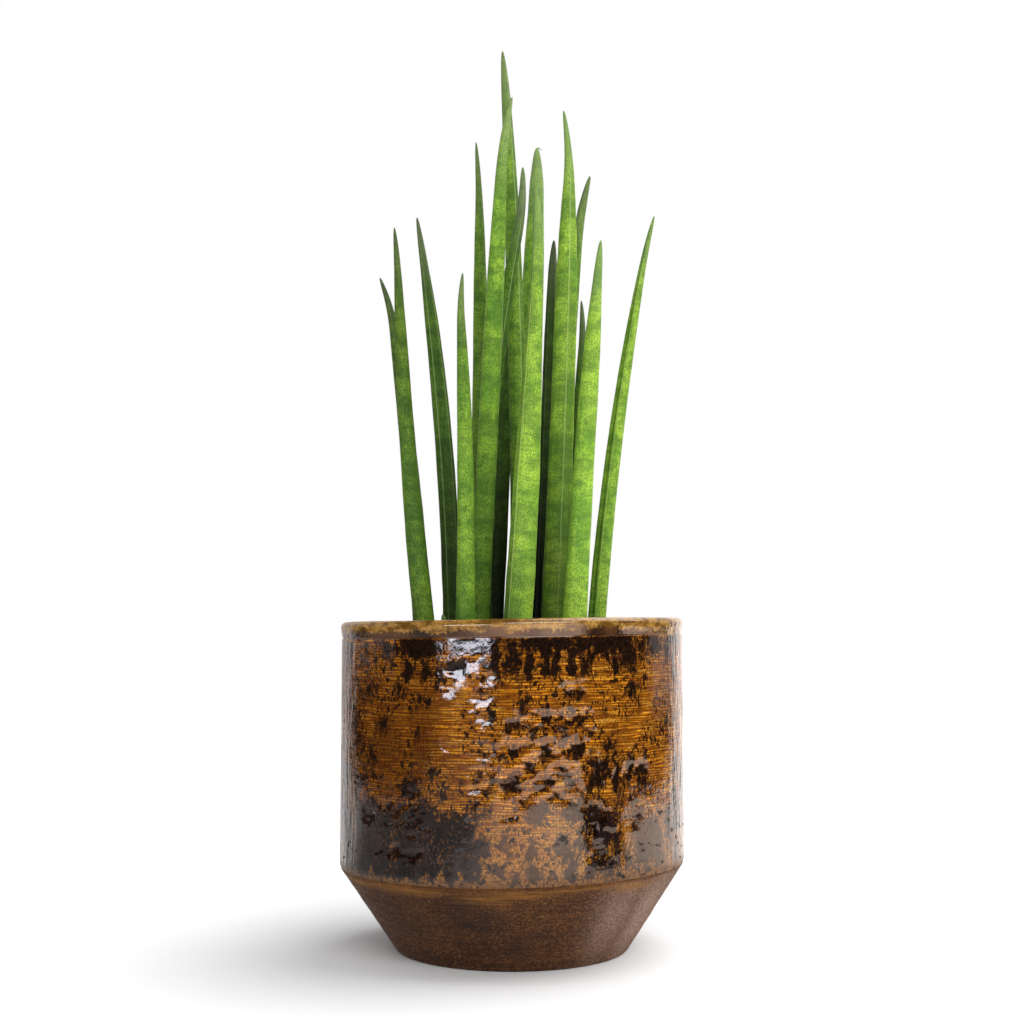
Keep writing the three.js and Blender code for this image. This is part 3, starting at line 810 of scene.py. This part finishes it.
def low_belt(shader, level, black, glaze):
    """Above the fold the dark pools are worn through in freckles, with small deep holes."""
    bloom, freckle, patchy, hole = shader.mottles("bloom", "freckle", "patchy", "hole")
    low = shader.span(level, 68.0, 86.0, 1.0, 0.0)
    freckle = shader.times(freckle, shader.span(patchy, 0.0, 1.0, 0.10, 0.75), shader.span(level, 46.0, 55.0))
    hole = shader.times(hole, low)
    glaze = shader.coats(
        glaze, (shader.times(bloom, black), low, "bloom"), (freckle, low, "freckle"), (hole, 0.92, "hole"),
    )
    return shader.shade(glaze, shader.span(level, 42.5, 52.0, 0.62, 1.0)), hole


def ochre_rim(shader, level, ragged, grit, cloud, glaze):
    """The rim is thin ochre glaze with a wavy lower boundary, over a dark neck."""
    wave, rim_cloud = shader.mottles("rim_wave", "rim_cloud")
    right = shader.span(shader.parts(shader.place())[0], 54 * MM, 70 * MM, 0.0, 3.6)
    wave = shader.plus(shader.times(wave, 1.7), shader.times(ragged, 2.2), shader.times(grit, 0.8), right)
    ochre = shader.coats(shader.blend(rim_cloud, "rim_dark", "rim_light"), (grit, 0.50, "rim_grit"))
    neck = shader.blend(cloud, "neck_dark", "neck_light")
    glaze = shader.blend(shader.span(level, *NECK_LEVELS), glaze, neck)
    return shader.blend(shader.span(shader.plus(level, wave), *RIM_LEVELS), glaze, ochre)


def glazed_clay():
    """Amber glaze over combed clay, near black where it lies thick."""
    material, shader = new_material("amber_glaze")
    thick, level, inside = map(shader.attribute, ("thick", "level", "inside"))
    grit, ragged, cloud = shader.mottles("grit", "ragged", "cloud")
    # Dark pools: rust where they thin out, near black where they are deep, both broken into grains.
    edge = shader.plus(thick, shader.times(shader.math("SUBTRACT", ragged, 0.5), 0.62))
    edge = shader.plus(edge, shader.times(shader.math("SUBTRACT", grit, 0.5), 0.22))
    black = shader.span(edge, 0.36, 0.62)
    speck, dash, dash_area = shader.mottles("speck", "dash", "dash_area")
    dots = shader.times(shader.math("MAXIMUM", speck, dash), dash_area, 0.95)
    pool = shader.coats("pool", (grit, 0.6, "pool_grit"))
    pool = shader.shade(pool, shader.span(level, 62.0, 84.0, 0.30, 1.0))
    glaze = shader.coats(amber_coat(shader, grit, level), (shader.span(edge, 0.12, 0.40), 0.72, "rust"))
    glaze = shader.blend(shader.math("MAXIMUM", black, dots), glaze, pool)

    glaze, hole = low_belt(shader, level, black, glaze)
    glaze = ochre_rim(shader, level, ragged, grit, cloud, glaze)
    fold_ochre, fold_mask = ochre_edge(shader, level)
    glaze = shader.blend(fold_mask, fold_ochre, glaze)
    glaze = shader.blend(inside, glaze, shader.blend(cloud, "inside", "inside_dark"))

    worn = shader.span(level, FOLD_HEIGHT + 1.0, FOLD_HEIGHT + 5.5, 0.36, 0.06)
    # The glaze ran in wavy upright streaks at the sides.
    at_side = shader.span(shader.math("ABSOLUTE", shader.parts(shader.place())[0]), 68 * MM, 79 * MM)
    streaks = shader.times(shader.plus(*shader.mottles("streaks"), shader.times(ragged, 0.2)), at_side)
    uneven = shader.bump(ragged, 0.00010, 0.25)
    shader.surface({
        "Base Color": glaze, "IOR": 1.6,
        "Roughness": shader.plus(worn, shader.times(ragged, 0.03), shader.times(hole, 0.55)),
        "Normal": shader.bump(streaks, 0.00042, 1.0, Normal=uneven),
    })
    return material


def bare_clay():
    """Unglazed dark clay with turning lines, speckle, smears of ochre under the fold and a painted sheen at
    its right side and left edge.
    """
    material, shader = new_material("bare_clay")
    level, stain, dry, smear = map(shader.attribute, ("level", "stain", "dry", "smear"))
    stroke, grain, patch = shader.mottles("stroke", "clay_grain", "patch")
    warm, pale_grain = shader.mottles("warm", "pale_grain")
    fold_ochre, _ = ochre_edge(shader, shader.plus(level, 3.2))
    near_fold = shader.span(level, FOLD_HEIGHT - 7.5, FOLD_HEIGHT - 0.5)
    smear = shader.plus(shader.times(warm, near_fold, 0.5), shader.times(smear, 0.75))
    clay = shader.coats(
        shader.blend(stroke, "clay_dark", "clay_light"),
        (warm, 0.40, "warm"), (pale_grain, 0.50, "pale_grain"), (grain, 0.72, "clay_grain"),
        (stain, shader.span(patch, 0, 1, 0.45, 0.90), "stain"),
        # Painted sheen: pale reflected light laid on the clay's right side and left edge.
        (dry, shader.span(grain, 0, 1, 0.95, 0.55), "dry"),
        (shader.math("MINIMUM", smear, 1.0), shader.span(stroke, 0, 1, 0.45, 1.0), "smear"),
    )
    clay = shader.blend(shader.span(level, FOLD_HEIGHT - 1.6, FOLD_HEIGHT - 0.3, 0.0, 0.85), clay, fold_ochre)
    shader.surface({
        "Base Color": clay, "Roughness": shader.span(grain, 0, 1, 0.42, 0.58), "Specular IOR Level": 0.15,
        "Normal": shader.bump(shader.plus(stroke, shader.times(grain, 0.8)), 0.00025, 0.9),
    })
    return material


# Leaves


def leaf_middle(leaf, share):
    """The middle line of a leaf at shares of its height: straight, with a bow and a hook near the point."""
    foot, tip, bow, hook = leaf[:4]
    hooked = np.maximum(0, (share - HOOK_START) / (1 - HOOK_START)) ** 2
    x = foot[0] + (tip[0] - hook - foot[0]) * share + 4 * bow * share * (1 - share) + hook * hooked
    y = foot[1] + (tip[1] - foot[1]) * share
    z = SOIL_HEIGHT + (tip[2] - SOIL_HEIGHT) * share
    return x, y, z


def leaf_girth(widths, share):
    """Width along the leaf, smooth through its stations, closing to a blunt point."""
    stations = np.array(GIRTH_STATIONS)
    w = np.array(widths, float)
    slopes = np.gradient(w, stations)
    share_in = np.clip(share, 0, stations[-1])
    i = np.clip(np.searchsorted(stations, share_in, side="right") - 1, 0, len(stations) - 2)
    span = stations[i + 1] - stations[i]
    t = (share_in - stations[i]) / span
    value = (
        (2 * t**3 - 3 * t**2 + 1) * w[i] + (t**3 - 2 * t**2 + t) * span * slopes[i]
        + (-2 * t**3 + 3 * t**2) * w[i + 1] + (t**3 - t**2) * span * slopes[i + 1]
    )
    return value * np.clip((1 - share) / (1 - stations[-1]), 0, 1) ** NOSE_POWER


def make_leaf(name, leaf, material, seed):
    """A spear leaf: rows of rings up its middle line, with the channel, its margins and slight ribs."""
    tip = leaf[1]
    height = tip[2] - SOIL_HEIGHT
    below = np.linspace(-LEAF_DEPTH / height, 0, 6)[:-1]
    body = np.linspace(0, BODY_END, max(12, int(height * BODY_END / LEAF_STEP)))
    nose = 1 - (1 - BODY_END) * (1 - np.linspace(0, 1, 15)[1:-1]) ** 2.2
    share = np.concatenate([below, body, nose])
    rows = len(share)
    x, y, z = leaf_middle(leaf, share)
    girth = leaf_girth(leaf[4], share)

    draw = np.random.default_rng(seed)
    wobble = np.interp(z, np.arange(100, 480, 9), draw.normal(0, 0.012, 43))
    side = np.arange(LEAF_SIDES) / LEAF_SIDES * 2 * math.pi
    from_channel = np.minimum(side, 2 * math.pi - side)
    depth = CHANNEL_DEPTH * (1 - 0.55 * smooth(0.8, 1.0, share))[:, None]
    form = 1 - depth * np.exp(-((from_channel / 0.42) ** 2))[None, :]
    margin = np.exp(-(((from_channel - MARGIN_ANGLE) / MARGIN_WIDTH) ** 2))
    # The channel's hollow is marked so that painted shade can darken the skin there.
    groove = 1 - smooth(MARGIN_ANGLE * 0.55, MARGIN_ANGLE, from_channel)
    form = form + MARGIN_RISE * margin[None, :]
    ribs = 0.010 * np.cos(11 * side + draw.uniform(0, 6)) + 0.007 * np.cos(17 * side + draw.uniform(0, 6))
    form = form + ribs[None, :] * (1 - smooth(0.85, 1.0, share))[:, None]
    radius = girth[:, None] / 2 * form * (1 + wobble[:, None])
    facing = math.radians(leaf[5]) + side[None, :]
    points = np.stack([
        x[:, None] + radius * np.cos(facing),
        y[:, None] + radius * np.sin(facing),
        np.repeat(z[:, None], LEAF_SIDES, axis=1),
    ], axis=-1).reshape(-1, 3)
    points = np.vstack([points, tip]) * MM
    faces = tube_faces(rows, LEAF_SIDES, far_end=False)
    last = (rows - 1) * LEAF_SIDES
    for column in range(LEAF_SIDES):
        faces.append((last + column, last + (column + 1) % LEAF_SIDES, len(points) - 1))

    def each(values):
        """The values on every ring, and the last one on the point."""
        return np.append(np.broadcast_to(values, (rows, LEAF_SIDES)).ravel(), values.ravel()[-1])

    # The tone is the leaf's lightness (partly painted shade) times its foot's painted shading, fading out
    # higher up.
    foot_painted_shading = FOOT_PAINTED_SHADING.get(name, 1.0)
    tone_and_painted_shading = leaf[7] * (foot_painted_shading + (1 - foot_painted_shading) * smooth(30, 165, z - SOIL_HEIGHT))
    piece = new_piece(name + "_skin", points, faces, material, {
        "along": each((z - SOIL_HEIGHT)[:, None] * MM),
        "share": each(share[:, None]),
        "around": each((from_channel / math.pi)[None, :]),
        "margin": each(margin[None, :] * (1 - smooth(BODY_END, 1.0, share))[:, None]),
        "groove": each(groove[None, :]),
        "own": np.full(len(points), draw.uniform(-1, 1)),
        "tone_and_painted_shading": each(tone_and_painted_shading[:, None]),
    })
    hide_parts(name)
    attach(piece, "root")


def make_dry_curl(leaf, material):
    """The small dry hook left at the point of one leaf."""
    angle = np.arange(CURL_SIDES) / CURL_SIDES * 2 * math.pi
    heading = np.gradient(np.array(CURL_PATH, float), axis=0)
    heading = heading / np.linalg.norm(heading, axis=1)[:, None]
    across = np.array([0.0, 1.0, 0.0])
    rings = []
    for middle, way, width in zip(CURL_PATH, heading, CURL_WIDTHS):
        ring = np.cos(angle)[:, None] * np.cross(way, across) - np.sin(angle)[:, None] * across
        rings.append(np.array(leaf[1]) + middle + width / 2 * ring)
    points = np.concatenate(rings) * MM
    # The curl takes a little darker tone than its leaf, painted shading included.
    flat = {
        "along": 0.28, "share": 1.0, "around": 0.7, "margin": 0.0, "groove": 0.0, "own": 0.3,
        "tone_and_painted_shading": leaf[7] * 0.8,
    }
    values = {name: np.full(len(points), value) for name, value in flat.items()}
    curl = new_piece("leaf_dry_curl", points, tube_faces(len(rings), CURL_SIDES), material, values)
    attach(curl, "root")


def leaf_skin(finish):
    """Green skin with lengthwise grain, cross bands, flecks, pale margins and a greyer point, with painted
    shade in the channel and painted shading by the tone.
    """
    light, dark, band, old_tip = LEAF_FINISH[finish]
    material, shader = new_material("leaf_skin_" + finish)
    names = ("along", "share", "around", "margin", "groove", "tone_and_painted_shading", "own")
    along, share, around, margin, groove, tone_and_painted_shading, own = map(shader.attribute, names)
    skin_place = shader.join(around, shader.times(own, 7.0), along)
    lines, broad, bands, thin_bands = (shader.mottle(skin_place, *values) for values in LEAF_MOTTLES)
    flecks, grain = shader.mottles("flecks", "skin_grain")
    # The margins beside the channel are two thin pale lines.
    beside = shader.math("ABSOLUTE", shader.math("SUBTRACT", around, MARGIN_ANGLE / math.pi))
    thin = shader.times(shader.span(beside, 0.006, 0.022, 1.0, 0.0), shader.span(margin, 0.0, 0.3))
    colour = shader.coats(
        shader.blend(broad, dark, light), (lines, 0.22, dark), (bands, 0.46, band), (thin_bands, 0.34, band),
        # Painted shade darkens the skin in the hollow of the channel.
        (flecks, 0.26, band), (grain, 0.64, band), (groove, 0.30, band),
        (thin, 0.62, shader.blend(0.5, light, PALE_MARGIN)),
        (shader.span(share, 0.78, 0.98), shader.span(flecks, 0, 1, 0.68, 0.44), old_tip),
    )
    colour = shader.shade(colour, shader.span(along, -0.005, 0.11, 0.98, 1.0))
    # The tone is partly the leaf's own green and partly painted shading: darker for leaves in shade, darker
    # or lighter at the foot.
    shader.surface({
        "Base Color": shader.shade(colour, tone_and_painted_shading), "Roughness": shader.span(grain, 0, 1, 0.42, 0.55),
        "Normal": shader.bump(shader.plus(lines, shader.times(grain, 0.7)), 0.00016, 0.6),
        "Specular IOR Level": 0.13,
    })
    return material


# Soil


def soil_height(x, y):
    """Height of the soil in mm: a mound with lumps and hollows."""
    r = np.hypot(x, y) / (RIM_RADIUS - WALL)
    lumps = np.sin(0.31 * x + 1.3) * np.cos(0.27 * y) + 0.5 * np.sin(0.83 * x + 0.61 * y)
    return SOIL_HEIGHT + SOIL_MOUND * (1 - r * r) + 0.7 * lumps * (1 - r**4)


def make_soil(material):
    """The body of soil: its crumbly top, and a skirt that follows the pot's inside down to the floor."""
    share = (SOIL_HEIGHT - FOLD_HEIGHT) / (POT_HEIGHT - FOLD_HEIGHT)
    top_radius = INNER_FOLD + (RIM_RADIUS - WALL - INNER_FOLD) * share - SOIL_GAP
    rings = np.linspace(1, 0.004, SOIL_RINGS)[:, None] * top_radius
    angle = np.arange(SOIL_SIDES) / SOIL_SIDES * 2 * math.pi
    x = rings * np.cos(angle)
    y = rings * np.sin(angle)
    turn = np.broadcast_to(angle / (2 * math.pi), x.shape)
    crumbs = layered_noise(turn * rings / top_radius, rings + x * 0, 3.2, 3.0, 5, 3)
    z = soil_height(x, y) + 1.6 * (crumbs - 0.5)
    skirt = np.array([
        (FOOT_RADIUS - WALL / 2 - SOIL_GAP, FLOOR + 0.4),
        (INNER_FOLD - SOIL_GAP, FOLD_HEIGHT + WALL / 2 + SOIL_GAP),
    ])
    radius, level = skirt[:, :1], np.repeat(skirt[:, 1:], SOIL_SIDES, axis=1)
    low = np.stack([radius * np.cos(angle), radius * np.sin(angle), level], axis=-1)
    grid = np.concatenate([low, np.stack([x, y, z], axis=-1)])
    grid[..., 2] += HAND_MADE_LEAN * np.minimum(grid[..., 2] / FOLD_HEIGHT, 1) * grid[..., 0]
    faces = tube_faces(len(grid), SOIL_SIDES)
    soil = new_piece("soil_body", grid.reshape(-1, 3) * MM, faces, material, {})
    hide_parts("soil")
    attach(soil, "root")
    return soil


def scatter_tree():
    """Geometry nodes that strew lumps on the upward faces of the soil."""
    tree = bpy.data.node_groups.new("strewn_lumps", "GeometryNodeTree")
    build = Shader(tree)
    build.sockets("Geometry", Surface="INPUT", Lumps="OUTPUT")
    build.sockets("Float", Density="INPUT", Size="INPUT", Flatness="INPUT", Spread="INPUT")
    build.sockets("Int", Seed="INPUT")
    build.sockets("Material", Finish="INPUT")
    given = build.node("NodeGroupInput").outputs

    level = build.parts(build.node("GeometryNodeInputNormal").outputs[0])[2]
    upward = build.node("FunctionNodeCompare", {0: level, 1: 0.3}, operation="GREATER_THAN")
    points = build.node("GeometryNodeDistributePointsOnFaces", {
        "Mesh": given["Surface"], "Selection": upward.outputs[0],
        "Density": given["Density"], "Seed": given["Seed"],
    })
    lump = build.node("GeometryNodeMeshIcoSphere", {"Radius": 0.5, "Subdivisions": 1})
    uneven = build.node("ShaderNodeTexNoise", {"Scale": 1.7}).outputs["Color"]
    push = build.node("ShaderNodeVectorMath", {0: uneven, 1: (0.5, 0.5, 0.5)}, operation="SUBTRACT")
    shaped = {"Geometry": lump.outputs["Mesh"], "Offset": push.outputs[0]}
    shaped = build.node("GeometryNodeSetPosition", shaped).outputs["Geometry"]

    turned = {"Max": (6.28, 6.28, 6.28), "Seed": given["Seed"]}
    turned = build.node("FunctionNodeRandomValue", turned, data_type="FLOAT_VECTOR").outputs[0]
    smallest = build.times(given["Size"], build.math("SUBTRACT", 1.0, given["Spread"]))
    largest = build.times(given["Size"], build.plus(1.0, given["Spread"]))
    size = {2: smallest, 3: largest, "Seed": given["Seed"]}
    size = build.node("FunctionNodeRandomValue", size, data_type="FLOAT").outputs[1]
    placed = build.node("GeometryNodeInstanceOnPoints", {
        "Points": points.outputs["Points"], "Instance": shaped, "Rotation": turned,
        "Scale": build.join(size, size, build.times(size, given["Flatness"])),
    })
    real = build.node("GeometryNodeRealizeInstances", {0: placed.outputs[0]})
    finish = {"Geometry": real.outputs[0], "Material": given["Finish"]}
    build.node("NodeGroupOutput", {"Lumps": build.node("GeometryNodeSetMaterial", finish).outputs[0]})
    return tree


def strew(name, soil, tree, values):
    """Runs the scatter on the soil and keeps the result as a plain mesh."""
    carrier = new_object(name + "_carrier", soil.data.copy())
    modifier = carrier.modifiers.new("strewn", "NODES")
    modifier.node_group = tree
    ids = {item.name: item.identifier for item in tree.interface.items_tree if item.item_type == "SOCKET"}
    for key, value in values.items():
        modifier[ids[key]] = value
    bpy.context.view_layer.update()
    graph = bpy.context.evaluated_depsgraph_get()
    mesh = bpy.data.meshes.new_from_object(carrier.evaluated_get(graph))
    bpy.data.objects.remove(carrier)
    mesh.name = name
    mesh.polygons.foreach_set("use_smooth", [True] * len(mesh.polygons))
    lumps = new_object(name, mesh)
    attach(lumps, "root")


def earth(name, dark, light, roughness):
    """Dull, grainy ground of two tones."""
    material, shader = new_material(name)
    lumps, grain = shader.mottles("lumps", "earth_grain")
    shader.surface({
        "Base Color": shader.coats(shader.blend(lumps, dark, light), (grain, 0.4, dark)),
        "Roughness": shader.span(lumps, 0, 1, roughness, roughness - 0.12),
        "Normal": shader.bump(grain, 0.0003, 0.8),
    })
    return material


def dress_soil():
    """The soil, with crumbs, bark and a few pale grains strewn on it."""
    earths = {name: earth(name, *values) for name, values in EARTHS.items()}
    soil = make_soil(earths["peat"])
    tree = scatter_tree()
    for name, (finish, density, size, flatness, spread, seed) in STREWN.items():
        strew(name, soil, tree, {
            "Density": density, "Size": size * MM, "Flatness": flatness, "Spread": spread, "Seed": seed,
            "Finish": earths[finish],
        })


# Put together

make_camera()
make_studio()
make_pot(glazed_clay(), bare_clay())
dress_soil()
skins = {finish: leaf_skin(finish) for finish in LEAF_FINISH}
for number, (leaf_name, leaf_values) in enumerate(LEAVES.items()):
    make_leaf(leaf_name, leaf_values, skins[leaf_values[6]], 100 + number)
make_dry_curl(LEAVES["leaf_11"], skins["mid"])

view = bpy.context.scene.view_settings
view.view_transform = "Standard"
view.look = "None"
